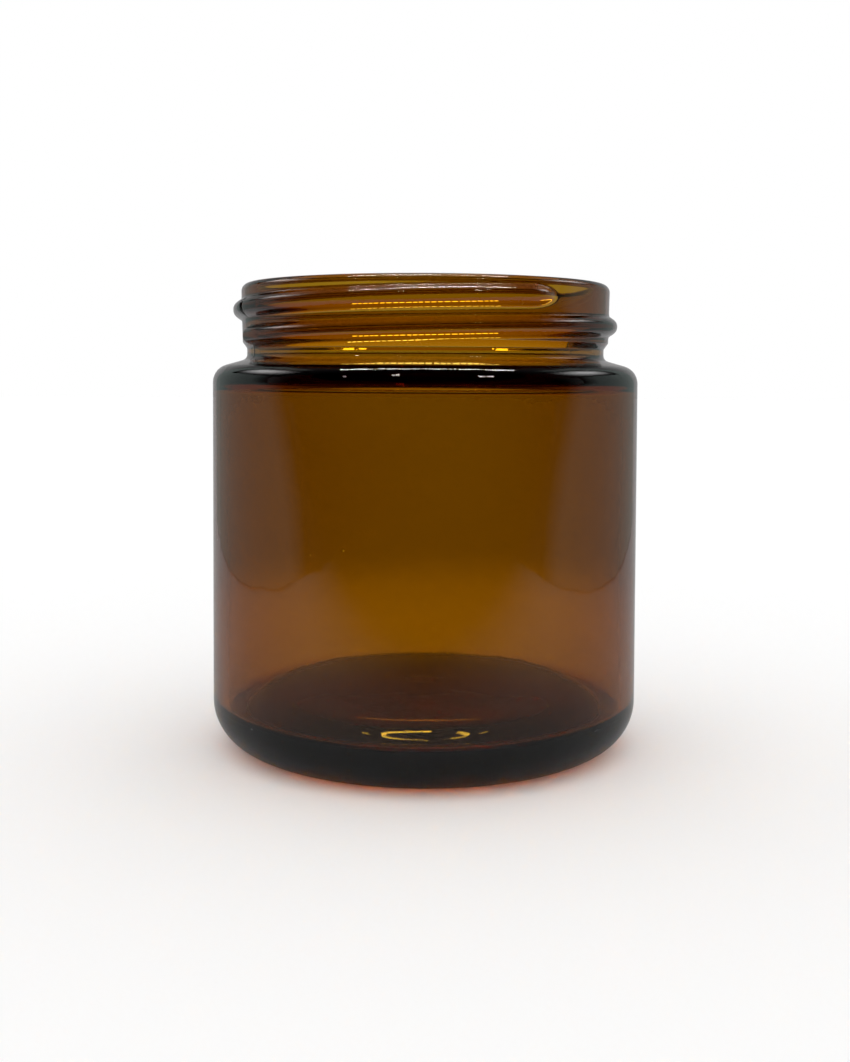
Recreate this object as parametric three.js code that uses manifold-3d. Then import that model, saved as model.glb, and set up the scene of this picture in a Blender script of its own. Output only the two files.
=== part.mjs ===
// Round wide-mouth glass jar with an external screw thread, moulded in one piece.
// Units are millimetres, +Z is up, and the origin is on the jar's axis at the
// plane that the jar stands on.

import * as THREE from 'three';
import { mergeVertices } from 'three/addons/utils/BufferGeometryUtils.js';
import Module from 'manifold-3d';

const wasm = await Module();
wasm.setup();

// Overall size.
const JAR_HEIGHT = 82.2;
const BODY_RADIUS = 38;
const WALL = 2.7;
const TURN_SEGMENTS = 44;
const ARC_SAG = 0.09;

// Base, outside: a flat bearing ring, a rounded heel round it and a push-up in its middle.
const HEEL_RADIUS = 8.4;
const BEARING_WIDTH = 1.6;
const PUSH_UP = 4;
const PUSH_UP_EDGE = 3;
const PUSH_UP_EDGE_RADIUS = 18;
const PUSH_UP_CROWN_RADIUS = 120;
const PUSH_UP_FILLET = 20;

// Base, inside: a low domed floor with a narrow channel between it and the wall.
const DOME_TOP = 11.9;
const DOME_EDGE = 9.7;
const DOME_EDGE_RADIUS = 29.3;
const DOME_CROWN_RADIUS = 140;
const DOME_FILLET = 10.5;
const CHANNEL_HEIGHT = 7.3;
const CHANNEL_RADIUS = 32.2;
const CHANNEL_INNER_FILLET = 0.8;
const CHANNEL_OUTER_FILLET = 1.6;

// Shoulder: nearly flat, falling a few degrees from the neck to the body.
const SHOULDER_SLOPE = THREE.MathUtils.degToRad(16);
const SHOULDER_EDGE_HEIGHT = 67.1;
const SHOULDER_RADIUS = 3.2;
const INNER_SHOULDER_DROP = 2.65;
const INNER_SHOULDER_RADIUS = 1.6;
const BORE_FOOT_RADIUS = 2.4;

// Neck finish: a plain groove, a small step, the threaded band and the lip.
const NECK_ROOT_RADIUS = 1.1;
const GROOVE_RADIUS = 31.97;
const STEP_BOTTOM = 70.7;
const STEP_TOP = 71.8;
const BAND_BOTTOM_RADIUS = 32.75;
const BAND_TOP_RADIUS = 33;
const BORE_RADIUS = 30.2;
const LIP_OUTER_RADIUS = 1.4;
const LIP_INNER_RADIUS = 0.6;

// Thread: a right-hand rounded bead that climbs anticlockwise seen from above.
// Angles are measured about +Z from +X.
const THREAD_PITCH = 5;
const THREAD_CREST_RADIUS = 34.5;
const THREAD_CORE_RADIUS = 32.6;
const THREAD_HALF_WIDTH = 1.9;
const THREAD_TOP_ANGLE = THREE.MathUtils.degToRad(-51);
const THREAD_TOP_HEIGHT = 79.15;
const THREAD_SWEEP = THREE.MathUtils.degToRad(466);
const THREAD_STEPS = 77;
const THREAD_SIDES = 10;
const THREAD_CAP_STEPS = 3;

const GLASS_COLOR = 0x7a4a0c;

// Points along one rounded corner: an arc tangent to both sides of the corner,
// in chords that lie no more than the sag inside it.
function cornerArc(before, corner, after, radius) {
  const toBefore = before.clone().sub(corner).normalize();
  const toAfter = after.clone().sub(corner).normalize();
  const halfAngle = Math.acos(toBefore.dot(toAfter)) / 2;
  const tangentLength = radius / Math.tan(halfAngle);
  const bisector = toBefore.clone().add(toAfter).normalize();
  const centre = corner.clone().addScaledVector(bisector, radius / Math.sin(halfAngle));
  const start = corner.clone().addScaledVector(toBefore, tangentLength).sub(centre);
  const end = corner.clone().addScaledVector(toAfter, tangentLength).sub(centre);
  const turn = Math.atan2(start.cross(end), start.dot(end));
  const steps = Math.ceil(Math.abs(turn) / (2 * Math.acos(1 - ARC_SAG / radius)));
  const points = [];
  for (let i = 0; i <= steps; i += 1) {
    const spoke = start.clone().rotateAround(new THREE.Vector2(), (turn * i) / steps);
    points.push(centre.clone().add(spoke));
  }
  return points;
}

// An open outline through [radius, height, fillet] corners, rounded where a
// corner has a fillet.
function roundedOutline(corners) {
  const vertices = corners.map(([radius, height]) => new THREE.Vector2(radius, height));
  const points = [];
  corners.forEach(([, , fillet], i) => {
    if (!fillet) {
      points.push(vertices[i]);
      return;
    }
    points.push(...cornerArc(vertices[i - 1], vertices[i], vertices[i + 1], fillet));
  });
  return points;
}

// Outline of the glass from the middle of the underside, round the outside,
// over the lip and down the inside to the middle of the floor.
function glassOutline() {
  const heelStart = BODY_RADIUS - HEEL_RADIUS;
  const bearingInner = heelStart - BEARING_WIDTH;
  const slope = Math.tan(SHOULDER_SLOPE);
  const innerRadius = BODY_RADIUS - WALL;
  const neckRootHeight = SHOULDER_EDGE_HEIGHT + (BODY_RADIUS - GROOVE_RADIUS) * slope;
  const innerShoulder = SHOULDER_EDGE_HEIGHT - INNER_SHOULDER_DROP;
  const boreFoot = innerShoulder + (innerRadius - BORE_RADIUS) * slope;
  return roundedOutline([
    [0, PUSH_UP],
    [PUSH_UP_EDGE_RADIUS / 2, PUSH_UP, PUSH_UP_CROWN_RADIUS],
    [PUSH_UP_EDGE_RADIUS, PUSH_UP_EDGE, PUSH_UP_FILLET],
    [bearingInner, 0],
    [BODY_RADIUS, 0, HEEL_RADIUS],
    [BODY_RADIUS, SHOULDER_EDGE_HEIGHT, SHOULDER_RADIUS],
    [GROOVE_RADIUS, neckRootHeight, NECK_ROOT_RADIUS],
    [GROOVE_RADIUS, STEP_BOTTOM],
    [BAND_BOTTOM_RADIUS, STEP_TOP],
    [BAND_TOP_RADIUS, JAR_HEIGHT, LIP_OUTER_RADIUS],
    [BORE_RADIUS, JAR_HEIGHT, LIP_INNER_RADIUS],
    [BORE_RADIUS, boreFoot, BORE_FOOT_RADIUS],
    [innerRadius, innerShoulder, INNER_SHOULDER_RADIUS],
    [innerRadius, CHANNEL_HEIGHT, CHANNEL_OUTER_FILLET],
    [CHANNEL_RADIUS, CHANNEL_HEIGHT, CHANNEL_INNER_FILLET],
    [DOME_EDGE_RADIUS, DOME_EDGE, DOME_FILLET],
    [DOME_EDGE_RADIUS / 2, DOME_TOP, DOME_CROWN_RADIUS],
    [0, DOME_TOP],
  ]);
}

// LatheGeometry turns its outline about Y, so the result is stood up on Z.
function glassBlank() {
  const blank = new THREE.LatheGeometry(glassOutline(), TURN_SEGMENTS);
  blank.rotateX(Math.PI / 2);
  return blank;
}

// A straight capsule along Y whose length becomes the way along the helix. Its
// inner part is sunk in the neck, and the part that stands out is the thread.
function threadBead() {
  const pathLength = THREAD_CORE_RADIUS * THREAD_SWEEP;
  const outwardScale = (THREAD_CREST_RADIUS - THREAD_CORE_RADIUS) / THREAD_HALF_WIDTH;
  const straight = pathLength - 2 * THREAD_HALF_WIDTH;
  const bead = new THREE.CapsuleGeometry(
    THREAD_HALF_WIDTH,
    straight,
    THREAD_CAP_STEPS,
    THREAD_SIDES,
    THREAD_STEPS,
  );
  const position = bead.attributes.position;
  for (let i = 0; i < position.count; i += 1) {
    const belowTop = (pathLength / 2 - position.getY(i)) / THREAD_CORE_RADIUS;
    const angle = THREAD_TOP_ANGLE - belowTop;
    const drop = (THREAD_PITCH * belowTop) / (2 * Math.PI);
    const radius = THREAD_CORE_RADIUS + position.getX(i) * outwardScale;
    const height = THREAD_TOP_HEIGHT - drop + position.getZ(i);
    position.setXYZ(i, radius * Math.cos(angle), radius * Math.sin(angle), height);
  }
  return bead;
}

// A closed geometry with its shared vertices merged, as a solid that can be joined.
function toSolid(geometry) {
  geometry.deleteAttribute('normal');
  geometry.deleteAttribute('uv');
  const merged = mergeVertices(geometry, 1e-4);
  const triVerts = Uint32Array.from(merged.index.array);
  const vertProperties = Float32Array.from(merged.attributes.position.array);
  return new wasm.Manifold(new wasm.Mesh({ numProp: 3, vertProperties, triVerts }));
}

function toGeometry(solid) {
  const mesh = solid.getMesh();
  const geometry = new THREE.BufferGeometry();
  geometry.setAttribute('position', new THREE.BufferAttribute(mesh.vertProperties, 3));
  geometry.setIndex(new THREE.BufferAttribute(mesh.triVerts, 1));
  return geometry;
}

function glassJar() {
  const solid = toSolid(glassBlank()).add(toSolid(threadBead()));
  const material = new THREE.MeshStandardMaterial({
    color: GLASS_COLOR,
    roughness: 0.05,
    metalness: 0,
  });
  const jar = new THREE.Mesh(toGeometry(solid), material);
  jar.name = 'glass_jar';
  return jar;
}

const apothecaryJar = new THREE.Group();
apothecaryJar.add(glassJar());

export default apothecaryJar;
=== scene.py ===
"""Amber glass screw-neck jar: the fine glass surface, its material, and a plain studio."""
import math

import bpy
import numpy as np
from mathutils import Euler, Matrix, Vector


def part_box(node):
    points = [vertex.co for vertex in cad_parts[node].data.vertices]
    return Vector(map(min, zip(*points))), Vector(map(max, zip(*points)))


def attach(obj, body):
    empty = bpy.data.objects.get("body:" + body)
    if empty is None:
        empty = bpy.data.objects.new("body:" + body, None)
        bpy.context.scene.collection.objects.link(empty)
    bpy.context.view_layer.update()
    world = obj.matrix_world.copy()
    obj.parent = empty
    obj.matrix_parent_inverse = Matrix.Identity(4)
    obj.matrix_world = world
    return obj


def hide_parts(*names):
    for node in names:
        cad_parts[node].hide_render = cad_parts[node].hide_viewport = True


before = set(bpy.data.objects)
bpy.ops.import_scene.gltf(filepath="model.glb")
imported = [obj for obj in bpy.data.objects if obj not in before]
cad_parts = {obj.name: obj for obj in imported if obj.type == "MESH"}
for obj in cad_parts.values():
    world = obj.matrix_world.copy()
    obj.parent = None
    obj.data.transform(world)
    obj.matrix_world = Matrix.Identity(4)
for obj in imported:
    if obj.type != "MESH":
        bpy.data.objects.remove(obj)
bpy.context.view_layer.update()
low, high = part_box("glass_jar")

MM = 0.001
FULL_TURN = 2 * math.pi

# Sizes in metres. The overall ones come from the frame, the others repeat the CAD part's.
JAR_HEIGHT = high[2] - low[2]
BODY_RADIUS = (high[0] - low[0]) / 2
WALL = 2.7 * MM
INNER_RADIUS = BODY_RADIUS - WALL
HEEL_RADIUS = 8.4 * MM
BEARING_WIDTH = 1.6 * MM
PUSH_UP = 4 * MM
PUSH_UP_EDGE = 3 * MM
PUSH_UP_EDGE_RADIUS = 18 * MM
PUSH_UP_CROWN_RADIUS = 120 * MM
PUSH_UP_FILLET = 20 * MM
DOME_TOP = 11.9 * MM
DOME_EDGE = 9.7 * MM
DOME_EDGE_RADIUS = 29.3 * MM
DOME_CROWN_RADIUS = 140 * MM
DOME_FILLET = 10.5 * MM
CHANNEL_HEIGHT = 7.3 * MM
CHANNEL_RADIUS = 32.2 * MM
CHANNEL_INNER_FILLET = 0.8 * MM
CHANNEL_OUTER_FILLET = 1.6 * MM
SHOULDER_SLOPE = math.tan(math.radians(16))
SHOULDER_EDGE_HEIGHT = 67.1 * MM
SHOULDER_RADIUS = 3.2 * MM
INNER_SHOULDER_DROP = 2.65 * MM
INNER_SHOULDER_RADIUS = 1.6 * MM
BORE_FOOT_RADIUS = 2.4 * MM
NECK_ROOT_RADIUS = 1.1 * MM
GROOVE_RADIUS = 31.97 * MM
STEP_BOTTOM = 70.7 * MM
STEP_TOP = 71.8 * MM
STEP_FILLET = 0.45 * MM
BAND_BOTTOM_RADIUS = 32.75 * MM
BAND_TOP_RADIUS = 33 * MM
BORE_RADIUS = 30.2 * MM
LIP_OUTER_RADIUS = 1.4 * MM
LIP_INNER_RADIUS = 0.6 * MM

# Right-hand thread, from its top end down. Angles are about +Z from +X. Its top end tapers over the
# tip's length. Further than some half widths from its middle line, all places count as equally far.
THREAD_PITCH = 5 * MM
THREAD_PROUD = 1.5 * MM
THREAD_HALF_WIDTH = 1.78 * MM
THREAD_TOP_ANGLE = math.radians(-54)
THREAD_TOP_HEIGHT = 79.1 * MM
THREAD_SWEEP = math.radians(461)
THREAD_SQUARENESS = 2.5
THREAD_FILLET = 0.3 * MM
THREAD_TIP = 5.5 * MM
THREAD_FAR = 3
THREAD_LOWEST = STEP_BOTTOM - 1 * MM

# The two halves of the mould met on this line and on the one across from it.
SEAM_ANGLE = math.radians(-156.5)
SEAM_PROUD = 0.07 * MM
SEAM_PROUD_BODY = 0.012 * MM
SEAM_HALF_WIDTH = 0.25 * MM
SEAM_LOWEST = 0.6 * MM
SEAM_HIGHEST = JAR_HEIGHT - 0.3 * MM
NOTCH_SHARE = 0.3
NOTCH_HALF_WIDTH = 0.45 * MM

# The inside wall is slightly wavy, up to below the shoulder, and the floor is smooth. Each wave has a
# share, a number of crests round the jar, a start in radians and a rise in radians to the metre.
WAVINESS = 0.05 * MM
WAVES = ((1, 2, 0, 40), (0.6, 3, 1.3, -65), (0.35, 5, 2.1, 110))
WAVE_TOP = 0.78 * JAR_HEIGHT
WAVE_FADE = 0.1 * JAR_HEIGHT
WAVE_INNERMOST = 0.8 * INNER_RADIUS

# How finely the surface is divided: up the outline, round the jar, and at the seams and thread end.
SPACING = 0.6 * MM
BAND_SPACING = 0.12 * MM
BAND_START = STEP_BOTTOM - 0.5 * MM
SAME_POINT = 1e-7
ARC_STEPS = 6
TURN_STEPS = 480
SEAM_STEP = math.radians(0.11)
SEAM_STEPS = 14
THREAD_END_STEP = math.radians(0.2)
THREAD_END_STEPS = 20
FINE_MARGIN = math.radians(0.3)

# The glass: depths in metres, texture scales in cells to the metre, and a dust spot in cells.
GLASS_IOR = 1.52
ABSORPTION_COLOUR = (0.8175, 0.682, 0.021, 1)
ABSORPTION_DENSITY = 1430
RIPPLE_SCALE = 150
RIPPLE_DETAIL = 2
RIPPLE_DEPTH = 0.03 * MM
SMEAR_SCALE = 38
SMEAR_DETAIL = 6
SMEAR_FADE = (0.5, 0.75)
SMEAR_ROUGHNESS = 0.03
DUST_CELLS = 170
DUST_SPOT = 0.035
DUST_CORE = 0.7 * DUST_SPOT
DUST_SHARE = 0.12
DUST_ROUGHNESS = 0.8


def corner_arc(before, corner, after, radius, steps):
    """Points of an arc that rounds a corner, tangent to both of its sides."""
    to_before = (before - corner).normalized()
    to_after = (after - corner).normalized()
    half_angle = to_before.angle(to_after) / 2
    centre = corner + (to_before + to_after).normalized() * (radius / math.sin(half_angle))
    start = corner + to_before * (radius / math.tan(half_angle)) - centre
    end = corner + to_after * (radius / math.tan(half_angle)) - centre
    turn = -start.angle_signed(end)
    return [centre + Matrix.Rotation(turn * i / steps, 2) @ start for i in range(steps + 1)]


def rounded_outline(corners, spacing):
    """An outline through (radius, height, fillet) corners, with points at most a spacing apart."""
    vertices = [Vector((radius, height)) for radius, height, _ in corners]
    points = []
    for i, (_, _, fillet) in enumerate(corners):
        if fillet:
            before, corner, after = vertices[i - 1:i + 2]
            turn = (corner - before).angle(after - corner)
            steps = max(ARC_STEPS, math.ceil(fillet * turn / spacing))
            points += corner_arc(before, corner, after, fillet, steps)
        else:
            points.append(vertices[i])
    outline = [points[0]]
    for point in points[1:]:
        start = outline[-1]
        gap = (point - start).length
        if gap < SAME_POINT:
            continue
        pieces = math.ceil(gap / spacing)
        outline += [start.lerp(point, k / pieces) for k in range(1, pieces + 1)]
    return outline


def outer_outline():
    """From the middle of the underside, over the heel, body, shoulder and neck, to the land."""
    heel_start = BODY_RADIUS - HEEL_RADIUS
    bearing_inner = heel_start - BEARING_WIDTH
    neck_root = SHOULDER_EDGE_HEIGHT + (BODY_RADIUS - GROOVE_RADIUS) * SHOULDER_SLOPE
    below = rounded_outline([
        (0, PUSH_UP, 0),
        (PUSH_UP_EDGE_RADIUS / 2, PUSH_UP, PUSH_UP_CROWN_RADIUS),
        (PUSH_UP_EDGE_RADIUS, PUSH_UP_EDGE, PUSH_UP_FILLET),
        (bearing_inner, 0, 0),
        (BODY_RADIUS, 0, HEEL_RADIUS),
        (BODY_RADIUS, SHOULDER_EDGE_HEIGHT, SHOULDER_RADIUS),
        (GROOVE_RADIUS, neck_root, NECK_ROOT_RADIUS),
        (GROOVE_RADIUS, BAND_START, 0),
    ], SPACING)
    band = rounded_outline([
        (GROOVE_RADIUS, BAND_START, 0),
        (GROOVE_RADIUS, STEP_BOTTOM, STEP_FILLET),
        (BAND_BOTTOM_RADIUS, STEP_TOP, STEP_FILLET),
        (BAND_TOP_RADIUS, JAR_HEIGHT, LIP_OUTER_RADIUS),
        (BORE_RADIUS + LIP_INNER_RADIUS, JAR_HEIGHT, 0),
    ], BAND_SPACING)
    return below[:-1] + band[:-1]


def inner_outline():
    """From the land, down the bore and the inside wall, to the middle of the floor."""
    inner_shoulder = SHOULDER_EDGE_HEIGHT - INNER_SHOULDER_DROP
    bore_foot = inner_shoulder + (INNER_RADIUS - BORE_RADIUS) * SHOULDER_SLOPE
    return rounded_outline([
        (BORE_RADIUS + LIP_INNER_RADIUS, JAR_HEIGHT, 0),
        (BORE_RADIUS, JAR_HEIGHT, LIP_INNER_RADIUS),
        (BORE_RADIUS, bore_foot, BORE_FOOT_RADIUS),
        (INNER_RADIUS, inner_shoulder, INNER_SHOULDER_RADIUS),
        (INNER_RADIUS, CHANNEL_HEIGHT, CHANNEL_OUTER_FILLET),
        (CHANNEL_RADIUS, CHANNEL_HEIGHT, CHANNEL_INNER_FILLET),
        (DOME_EDGE_RADIUS, DOME_EDGE, DOME_FILLET),
        (DOME_EDGE_RADIUS / 2, DOME_TOP, DOME_CROWN_RADIUS),
        (0, DOME_TOP, 0),
    ], SPACING)


def turn_angles():
    """Angles round the jar, closer together at the two mould seams and at the thread's top end."""
    even = np.arange(TURN_STEPS) * (FULL_TURN / TURN_STEPS)
    seam = np.arange(-SEAM_STEPS, SEAM_STEPS + 1) * SEAM_STEP
    thread_end = np.arange(-THREAD_END_STEPS, THREAD_END_STEPS + 1) * THREAD_END_STEP
    patches = [
        (SEAM_ANGLE + seam) % FULL_TURN,
        (SEAM_ANGLE + math.pi + seam) % FULL_TURN,
        (THREAD_TOP_ANGLE + thread_end) % FULL_TURN,
    ]
    clear = np.ones(even.shape, bool)
    for patch in patches:
        middle = patch[len(patch) // 2]
        half = abs(patch[0] - middle)
        away = np.abs((even - middle + math.pi) % FULL_TURN - math.pi)
        clear &= away > half + FINE_MARGIN
    return np.sort(np.concatenate([even[clear], *patches]))


def seam_distance(angle, radius):
    """How far round the surface a point is from the nearer mould seam."""
    turned = (angle - SEAM_ANGLE + math.pi / 2) % math.pi - math.pi / 2
    return np.abs(turned) * radius


def thread_height(angle, height):
    """How far the thread stands out at each point of the neck, notched where a seam crosses it."""
    proud = np.zeros(np.broadcast(angle, height).shape)
    way = THREAD_TOP_ANGLE - angle
    tip_start = (THREAD_TIP - THREAD_HALF_WIDTH) / BAND_TOP_RADIUS
    # Each turn of the thread that can pass an angle adds its own crown there.
    for turn in range(-1, 3):
        travelled = way + turn * FULL_TURN
        inside = np.clip(travelled, tip_start, THREAD_SWEEP)
        past_end = (travelled - inside) * BAND_TOP_RADIUS
        past_end = np.where(past_end < 0, past_end * THREAD_HALF_WIDTH / THREAD_TIP, past_end)
        middle = THREAD_TOP_HEIGHT - THREAD_PITCH * inside / FULL_TURN
        away = np.hypot(height - middle, past_end) / THREAD_HALF_WIDTH
        crown = THREAD_PROUD * (1 - np.minimum(away, THREAD_FAR) ** THREAD_SQUARENESS)
        filleted = (crown + np.hypot(crown, THREAD_FILLET)) / 2
        proud = np.maximum(proud, filleted)
    across = seam_distance(angle, BAND_TOP_RADIUS) / NOTCH_HALF_WIDTH
    return proud * (1 - NOTCH_SHARE * np.exp(-across ** 2))


def outline_columns(outline):
    """The radii and the heights of an outline, each as a column."""
    radius = np.array([point.x for point in outline])
    height = np.array([point.y for point in outline])
    return radius[:, None], height[:, None]


def outer_points(outline, angles):
    """Radius and height of every point outside, with the thread and the seams standing out."""
    radius, height = outline_columns(outline)
    on_band = (height > THREAD_LOWEST) & (radius > BORE_RADIUS)
    lip_fade = np.clip((JAR_HEIGHT - height) / LIP_OUTER_RADIUS, 0, 1)
    out = np.where(on_band, thread_height(angles, height) * lip_fade, 0)
    seam = np.exp(-(seam_distance(angles, radius) / SEAM_HALF_WIDTH) ** 2)
    upright = (radius > BODY_RADIUS - HEEL_RADIUS) & (height > SEAM_LOWEST) & (height < SEAM_HIGHEST)
    groove = (height > SHOULDER_EDGE_HEIGHT) & (height < STEP_TOP)
    out = out + np.where(upright, np.where(groove, SEAM_PROUD, SEAM_PROUD_BODY) * seam, 0)
    return radius + out, height + 0 * out


def inner_points(outline, angles):
    """Radius and height of every point inside, with the wall's slight waves."""
    radius, height = outline_columns(outline)
    wave = sum(
        share * np.sin(crests * angles + start + rise * height) for share, crests, start, rise in WAVES
    )
    low_enough = np.clip((WAVE_TOP - height) / WAVE_FADE, 0, 1)
    on_wall = np.clip((radius - WAVE_INNERMOST) / (INNER_RADIUS - WAVE_INNERMOST), 0, 1)
    return radius + WAVINESS * wave * low_enough * on_wall, height + 0 * wave


def turned_mesh(name, radius, height, angles):
    """A closed mesh from rows of radii and heights, whose first and last rows are on the axis."""
    count = len(angles)
    rings = np.stack([radius * np.cos(angles), radius * np.sin(angles), height], axis=2)[1:-1]
    bottom = (0, 0, height[0, 0])
    floor = (0, 0, height[-1, 0])
    vertices = [bottom, *map(tuple, rings.reshape(-1, 3)), floor]
    last_row = len(vertices) - 1 - count
    faces = []
    for j in range(count):
        k = (j + 1) % count
        faces.append((0, 1 + k, 1 + j))
        faces.append((len(vertices) - 1, last_row + j, last_row + k))
    for a in range(1, last_row, count):
        b = a + count
        faces += [(a + j, a + (j + 1) % count, b + (j + 1) % count, b + j) for j in range(count)]
    mesh = bpy.data.meshes.new(name)
    mesh.from_pydata(vertices, [], faces)
    mesh.shade_smooth()
    mesh.update()
    piece = bpy.data.objects.new(name, mesh)
    bpy.context.scene.collection.objects.link(piece)
    return piece


def glass_surface():
    """The whole skin of the jar, outside and inside, as one closed mesh."""
    angles = turn_angles()
    outside = outer_points(outer_outline(), angles)
    inside = inner_points(inner_outline(), angles)
    radius, height = (np.vstack(rows) for rows in zip(outside, inside))
    return turned_mesh("jar_glass", radius, height, angles)


def new_material(name):
    """A material with nodes: it, its nodes, its links, its shader and its output."""
    material = bpy.data.materials.new(name)
    material.use_nodes = True
    nodes = material.node_tree.nodes
    return material, nodes, material.node_tree.links, nodes["Principled BSDF"], nodes["Material Output"]


def feed(links, value, socket):
    """Set a socket to a number, or link it to another node's output."""
    if isinstance(value, (int, float)):
        socket.default_value = value
    else:
        links.new(value, socket)


def calculate(nodes, links, operation, *values):
    node = nodes.new("ShaderNodeMath")
    node.operation = operation
    for value, socket in zip(values, node.inputs):
        feed(links, value, socket)
    return node.outputs["Value"]


def fade(nodes, links, value, start, end, low_level, high_level):
    """A smooth step of a value, from one level to another."""
    step = nodes.new("ShaderNodeMapRange")
    step.interpolation_type = "SMOOTHSTEP"
    links.new(value, step.inputs["Value"])
    step.inputs["From Min"].default_value = start
    step.inputs["From Max"].default_value = end
    step.inputs["To Min"].default_value = low_level
    step.inputs["To Max"].default_value = high_level
    return step.outputs["Result"]


def choose(nodes, links, flag, when_set, otherwise):
    """One level where a ray's flag is set and another where it is not."""
    node = nodes.new("ShaderNodeMix")
    links.new(flag, node.inputs["Factor"])
    feed(links, otherwise, node.inputs["A"])
    feed(links, when_set, node.inputs["B"])
    return node.outputs["Result"]


def noise(nodes, links, place, scale, detail):
    texture = nodes.new("ShaderNodeTexNoise")
    links.new(place, texture.inputs["Vector"])
    texture.inputs["Scale"].default_value = scale
    texture.inputs["Detail"].default_value = detail
    return texture.outputs["Fac"]


def dust(nodes, links, place):
    """Sparse specks: a small round spot in a few of the cells, and nothing in the others."""
    cells = nodes.new("ShaderNodeTexVoronoi")
    links.new(place, cells.inputs["Vector"])
    cells.inputs["Scale"].default_value = DUST_CELLS
    channels = nodes.new("ShaderNodeSeparateColor")
    links.new(cells.outputs["Color"], channels.inputs[0])
    spot = fade(nodes, links, cells.outputs["Distance"], DUST_CORE, DUST_SPOT, 1.0, 0.0)
    chosen = calculate(nodes, links, "GREATER_THAN", channels.outputs["Red"], 1 - DUST_SHARE)
    return calculate(nodes, links, "MULTIPLY", spot, chosen)


def amber_glass():
    """Clear amber glass, faintly rippled, with handling smears and a little dust."""
    material, nodes, links, shader, output = new_material("amber_glass")
    place = nodes.new("ShaderNodeTexCoord").outputs["Object"]
    shader.inputs["Base Color"].default_value = (1, 1, 1, 1)
    shader.inputs["Transmission Weight"].default_value = 1
    shader.inputs["IOR"].default_value = GLASS_IOR
    clouds = noise(nodes, links, place, SMEAR_SCALE, SMEAR_DETAIL)
    smears = fade(nodes, links, clouds, *SMEAR_FADE, 0.0, SMEAR_ROUGHNESS)
    specks = calculate(nodes, links, "MULTIPLY", dust(nodes, links, place), DUST_ROUGHNESS)
    links.new(calculate(nodes, links, "MAXIMUM", smears, specks), shader.inputs["Roughness"])
    bump = nodes.new("ShaderNodeBump")
    bump.inputs["Strength"].default_value = 1
    bump.inputs["Distance"].default_value = RIPPLE_DEPTH
    links.new(noise(nodes, links, place, RIPPLE_SCALE, RIPPLE_DETAIL), bump.inputs["Height"])
    links.new(bump.outputs["Normal"], shader.inputs["Normal"])
    volume = nodes.new("ShaderNodeVolumeAbsorption")
    volume.inputs["Color"].default_value = ABSORPTION_COLOUR
    volume.inputs["Density"].default_value = ABSORPTION_DENSITY
    links.new(volume.outputs["Volume"], output.inputs["Volume"])
    return material


def build_jar():
    jar = glass_surface()
    jar.data.materials.append(amber_glass())
    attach(jar, "root")
    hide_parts("glass_jar")


# The camera, in front of the jar and level with its shoulder.
CAMERA_DISTANCE = 240 * MM
CAMERA_HEIGHT = 67 * MM
CAMERA_PITCH = math.radians(2.54)
CAMERA_ROLL = math.radians(0.26)
CAMERA_SHIFT = -0.0964
CAMERA_NEAR = 10 * MM
SENSOR_MM = 36
FOCAL_PIXELS = 1323.4
FRAME_LONG_SIDE = 1062

# The studio: a white light tent on a pale floor, open in front. Places are in metres. A fade is
# (start, end, level at the start, level at the end).
FLOOR_RADIUS = 3
FLOOR_SIDES = 128
FLOOR_WHITE = 0.92
FLOOR_ROUGHNESS = 0.8
# The floor's colour in the glass is painted shade. Seen through the glass, it is painted darker further
# from the jar. Mirrored in it, it is painted grey, and dimmer towards the open front and outside the
# walls.
FLOOR_SEEN_THROUGH_PAINTED_SHADE = (0.11, 0.26, FLOOR_WHITE, 0.5)
FLOOR_FRONT_PAINTED_SHADE = (-0.17, -0.04, 0.0, 0.42)
FLOOR_FRONT_SPREAD = 0.3
FLOOR_ASIDE_PAINTED_SHADE = (0.205, 0.22, 1.0, 0.1)
FLOOR_ASIDE_BACK = 0.25

# The world's light, by how far up or back a ray points.
DIFFUSE_LIGHT = 1.1
WORLD_SEEN_THROUGH = (-0.02, 0.05, 0.5, 0.6)
WORLD_TOP = (0.55, 0.85, 1.0, 0.25)
WORLD_FRONT = (-0.25, 0.35, 0.0, 0.42)
WORLD_ROOF = (0.1, 0.75, 1.0, 0.15)
WARM_FADE = (0.12, 0.35)
WARM_GREEN = 0.6
WARM_BLUE = 0.1

# A mirrored ray's depth is 1 if it met the glass once, and more if it went inside.
AFTER_FIRST = (1.2, 1.8)

# The tent's side walls: the front edge's points are (y, z), from the floor up, and it fades out over
# the blur on both sides of them.
WALL_X = 0.215
WALL_FRONT = [(-0.113, 0), (-0.103, 0.021), (-0.083, 0.038), (-0.051, 0.059), (0.0, 0.09), (0.05, 0.4)]
WALL_BACK = 0.3
WALL_TOP = 0.4
WALL_LEVEL = 0.3
WALL_TINT = (1, 1.15, 1.1, 1)
WALL_EDGE_BLUR = 0.025

# Lamps in the roof and the room: sizes are (x, y). The ring has no lamps where x is in its gap. A strip
# is (x of its first lamp, y, number of lamps). The room lights' x and y are shares of their height.
ROOF = 0.4
RING_CENTRE = Vector((0.0045, 0.05, ROOF))
RING_HALF_WIDE = 0.09
RING_HALF_DEEP = 0.08
RING_LAMPS = 56
RING_LAMP_SIZE = (0.01, 0.032)
RING_GAP = (0.011, 0.064)
RING_LEVEL = 3000
STRIP_STEP = 0.008
MIRRORED_STRIP = (-0.145, 0.03, 39)
MIRRORED_STRIP_LAMP_SIZE = (0.006, 0.03)
MIRRORED_STRIP_LEVEL = 28
SEEN_STRIP = (-0.1, 0.55, 24)
SEEN_STRIP_LAMP_SIZE = (0.006, 0.06)
SEEN_STRIP_LEVEL = 8
ROOM_HEIGHT = 2.0
ROOM_FRONT = -0.68
ROOM_PLACES = (-0.82, -0.26, 0.52, 0.62)
ROOM_LAMP_SIZE = (0.15, 0.12)
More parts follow.
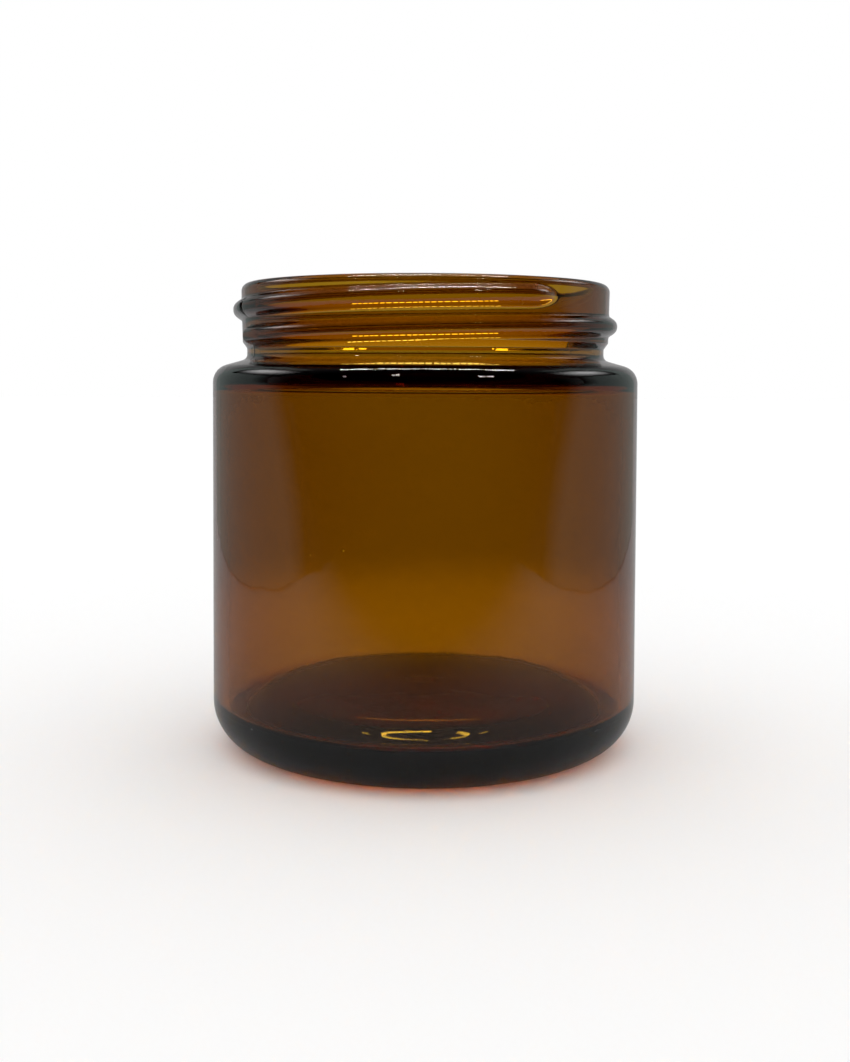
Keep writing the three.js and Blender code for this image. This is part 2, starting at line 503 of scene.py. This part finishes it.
ROOM_LEVEL = 40

# A bright patch in front of each wall's upper part.
GLOW_X = 0.214
GLOW_Y = (-0.03, 0.2)
GLOW_Z = (0.17, 0.32)
GLOW_LEVEL = 3.5


def build_camera():
    data = bpy.data.cameras.new("camera")
    data.sensor_width = SENSOR_MM
    data.lens = FOCAL_PIXELS / FRAME_LONG_SIDE * SENSOR_MM
    data.shift_y = CAMERA_SHIFT
    data.clip_start = CAMERA_NEAR
    camera = bpy.data.objects.new("camera", data)
    camera.location = (0, -CAMERA_DISTANCE, CAMERA_HEIGHT)
    turn = Euler((math.pi / 2 - CAMERA_PITCH, 0, 0)).to_matrix() @ Matrix.Rotation(CAMERA_ROLL, 3, "Z")
    camera.rotation_euler = turn.to_euler()
    bpy.context.scene.collection.objects.link(camera)
    bpy.context.scene.camera = camera


def light_path(nodes):
    return nodes.new("ShaderNodeLightPath").outputs


def axes_of(nodes, links, vector):
    """The X, Y and Z of a vector."""
    axes = nodes.new("ShaderNodeSeparateXYZ")
    links.new(vector, axes.inputs[0])
    return axes.outputs


def painted_floor_shade_in_reflections(nodes, links, x, y):
    """The floor's painted shade in reflections: its colour is painted dim in front of the tent and outside
    its side walls.
    """
    aside = calculate(nodes, links, "ABSOLUTE", x)
    front = calculate(nodes, links, "MULTIPLY_ADD", aside, FLOOR_FRONT_SPREAD, y)
    past_back = calculate(nodes, links, "SUBTRACT", y, FLOOR_ASIDE_BACK)
    past_back = calculate(nodes, links, "MAXIMUM", past_back, 0.0)
    aside = calculate(nodes, links, "SUBTRACT", aside, past_back)
    painted_front_shade = fade(nodes, links, front, *FLOOR_FRONT_PAINTED_SHADE)
    painted_wall_shade = fade(nodes, links, aside, *FLOOR_ASIDE_PAINTED_SHADE)
    return calculate(nodes, links, "MULTIPLY", painted_front_shade, painted_wall_shade)


def build_floor():
    """White to the camera. Painted shade makes it greyer in the jar's reflections and dim in front, where
    the tent is open, and darker further out where it is seen through the glass.
    """
    bpy.ops.mesh.primitive_circle_add(
        vertices=FLOOR_SIDES, radius=FLOOR_RADIUS, fill_type="NGON", location=(0, 0, 0)
    )
    floor = bpy.context.object
    floor.name = "floor"
    material, nodes, links, shader, output = new_material("pale_floor")
    position = nodes.new("ShaderNodeNewGeometry").outputs["Position"]
    axes = axes_of(nodes, links, position)
    length = nodes.new("ShaderNodeVectorMath")
    length.operation = "LENGTH"
    links.new(position, length.inputs[0])
    rays = light_path(nodes)
    # Painted shade: the floor seen through the glass is painted darker further from the jar.
    seen_through = fade(nodes, links, length.outputs["Value"], *FLOOR_SEEN_THROUGH_PAINTED_SHADE)
    mirrored = painted_floor_shade_in_reflections(nodes, links, axes["X"], axes["Y"])
    # Painted shade: the floor mirrored in the glass is painted grey, and dim in front and outside the
    # walls.
    shade = choose(nodes, links, rays["Is Glossy Ray"], mirrored, FLOOR_WHITE)
    shade = choose(nodes, links, rays["Is Transmission Ray"], seen_through, shade)
    links.new(shade, shader.inputs["Base Color"])
    shader.inputs["Roughness"].default_value = FLOOR_ROUGHNESS
    shader.inputs["Specular IOR Level"].default_value = 0
    floor.data.materials.append(material)


def build_world():
    """Even white light, which the glass mirrors as a dim tent with an open, dark front."""
    world = bpy.data.worlds.new("studio")
    world.use_nodes = True
    nodes, links = world.node_tree.nodes, world.node_tree.links
    background = nodes["Background"]
    axes = axes_of(nodes, links, nodes.new("ShaderNodeTexCoord").outputs["Generated"])
    rays = light_path(nodes)
    seen_through = calculate(
        nodes, links, "MULTIPLY",
        fade(nodes, links, axes["Z"], *WORLD_SEEN_THROUGH),
        fade(nodes, links, axes["Z"], *WORLD_TOP),
    )
    mirrored = calculate(
        nodes, links, "MULTIPLY",
        fade(nodes, links, axes["Y"], *WORLD_FRONT),
        fade(nodes, links, axes["Z"], *WORLD_ROOF),
    )
    level = choose(nodes, links, rays["Is Glossy Ray"], mirrored, DIFFUSE_LIGHT)
    level = choose(nodes, links, rays["Is Transmission Ray"], seen_through, level)
    level = choose(nodes, links, rays["Is Camera Ray"], 1.0, level)
    links.new(level, background.inputs["Strength"])
    warm = nodes.new("ShaderNodeCombineColor")
    warm.inputs["Red"].default_value = 1
    for channel, overhead in (("Green", WARM_GREEN), ("Blue", WARM_BLUE)):
        tint = fade(nodes, links, axes["Z"], *WARM_FADE, 1.0, overhead)
        links.new(choose(nodes, links, rays["Is Transmission Ray"], tint, 1.0), warm.inputs[channel])
    links.new(warm.outputs[0], background.inputs["Color"])
    bpy.context.scene.world = world


def glowing(name, level, seen_by=None, tint=(1, 1, 1, 1)):
    """Light of one level, which some kinds of ray may be made not to see."""
    material, nodes, links, shader, output = new_material(name)
    glow = nodes.new("ShaderNodeEmission")
    glow.inputs["Color"].default_value = tint
    feed(links, seen_by(nodes, links, level) if seen_by else level, glow.inputs["Strength"])
    links.new(glow.outputs[0], output.inputs["Surface"])
    nodes.remove(shader)
    return material


def stage_mesh(name, vertices, faces, material, through):
    """A glowing piece of the studio that only the glass shows: mirrored and, if through, behind it."""
    mesh = bpy.data.meshes.new(name)
    mesh.from_pydata(vertices, [], faces)
    mesh.materials.append(material)
    piece = bpy.data.objects.new(name, mesh)
    bpy.context.scene.collection.objects.link(piece)
    piece.visible_camera = False
    piece.visible_diffuse = False
    piece.visible_shadow = False
    piece.visible_transmission = through
    return piece


def straight_mirrored(nodes, links, level):
    """Only for a reflection on the outside of the jar."""
    return fade(nodes, links, light_path(nodes)["Ray Depth"], *AFTER_FIRST, level, 0.0)


def soft_mirrored(nodes, links, level):
    """The same, fading out towards the edges of a glow patch."""
    axes = axes_of(nodes, links, nodes.new("ShaderNodeNewGeometry").outputs["Position"])
    level = straight_mirrored(nodes, links, level)
    for axis, (start, end) in (("Y", GLOW_Y), ("Z", GLOW_Z)):
        away = calculate(nodes, links, "SUBTRACT", axes[axis], (start + end) / 2)
        away = calculate(nodes, links, "ABSOLUTE", away)
        share = fade(nodes, links, away, 0.0, (end - start) / 2, 1.0, 0.0)
        level = calculate(nodes, links, "MULTIPLY", level, share)
    return level


def mirrored_within(nodes, links, level):
    """Only for reflections inside the jar."""
    return fade(nodes, links, light_path(nodes)["Ray Depth"], *AFTER_FIRST, 0.0, level)


def feathered(nodes, links, level):
    """Light that falls off with a mesh's own share values."""
    share = nodes.new("ShaderNodeAttribute")
    share.attribute_name = "share"
    return calculate(nodes, links, "MULTIPLY", share.outputs["Fac"], level)


def build_walls():
    """The tent's two side walls, whose front edges lean back and are out of focus."""
    material = glowing("tent_wall", WALL_LEVEL, feathered, WALL_TINT)
    count = len(WALL_FRONT)
    faces = [(*range(count), 2 * count, 2 * count + 1)]
    faces += [(i, i + 1, count + i + 1, count + i) for i in range(count - 1)]
    for side, x in (("left", -WALL_X), ("right", WALL_X)):
        lit = [(x, y + WALL_EDGE_BLUR, z) for y, z in WALL_FRONT]
        dark = [(x, y - WALL_EDGE_BLUR, z) for y, z in WALL_FRONT]
        back = [(x, WALL_BACK, WALL_TOP), (x, WALL_BACK, 0)]
        wall = stage_mesh(f"tent_wall_{side}", lit + dark + back, faces, material, False)
        shares = wall.data.attributes.new("share", "FLOAT", "POINT")
        shares.data.foreach_set("value", [1.0] * count + [0.0] * count + [1.0, 1.0])


def lamp_mesh(name, places, size, level, seen_by=None, through=True):
    """Small rectangular lamps that face down, one at each place."""
    wide, deep = size[0] / 2, size[1] / 2
    vertices = []
    for x, y, z in places:
        for side, end in ((-1, -1), (1, -1), (1, 1), (-1, 1)):
            vertices.append((x + side * wide, y + end * deep, z))
    faces = [tuple(range(i, i + 4)) for i in range(0, len(vertices), 4)]
    return stage_mesh(name, vertices, faces, glowing(name, level, seen_by), through)


def build_ring_light():
    """An oval ring of small lamps in the roof, with a gap at two places."""
    places = []
    for i in range(RING_LAMPS):
        turn = FULL_TURN * (i + 0.5) / RING_LAMPS
        x = RING_HALF_WIDE * math.cos(turn)
        y = RING_HALF_DEEP * math.sin(turn)
        if not RING_GAP[0] < x < RING_GAP[1]:
            places.append(RING_CENTRE + Vector((x, y, 0)))
    lamp_mesh("ring_light", places, RING_LAMP_SIZE, RING_LEVEL, mirrored_within, False)


def strip_places(start, y, count):
    """A straight row of places in the roof, across the tent."""
    return [(start + STRIP_STEP * i, y, ROOF) for i in range(count)]


def build_strips():
    """One row of lamps that the shoulder mirrors, and one that is seen through the threads."""
    lamp_mesh("mirrored_strip", strip_places(*MIRRORED_STRIP), MIRRORED_STRIP_LAMP_SIZE,
              MIRRORED_STRIP_LEVEL, straight_mirrored, False)
    seen_strip = lamp_mesh("seen_strip", strip_places(*SEEN_STRIP), SEEN_STRIP_LAMP_SIZE, SEEN_STRIP_LEVEL)
    seen_strip.visible_glossy = False


def build_room_lights():
    """Four far lamps of the room in front, over the open side of the tent."""
    places = [(x * ROOM_HEIGHT, ROOM_FRONT * ROOM_HEIGHT, ROOM_HEIGHT) for x in ROOM_PLACES]
    lamp_mesh("room_lights", places, ROOM_LAMP_SIZE, ROOM_LEVEL)


def build_glow():
    """The bright upper parts of the side walls, which only the shoulder mirrors."""
    (front, back), (bottom, top) = GLOW_Y, GLOW_Z
    for side, x in (("left", -GLOW_X), ("right", GLOW_X)):
        corners = [(x, front, bottom), (x, back, bottom), (x, back, top), (x, front, top)]
        material = glowing("wall_glow", GLOW_LEVEL, soft_mirrored)
        stage_mesh(f"glow_{side}", corners, [(0, 1, 2, 3)], material, False)


build_camera()
build_jar()
build_floor()
build_world()
build_walls()
build_ring_light()
build_strips()
build_room_lights()
build_glow()
bpy.context.scene.view_settings.view_transform = "Standard"
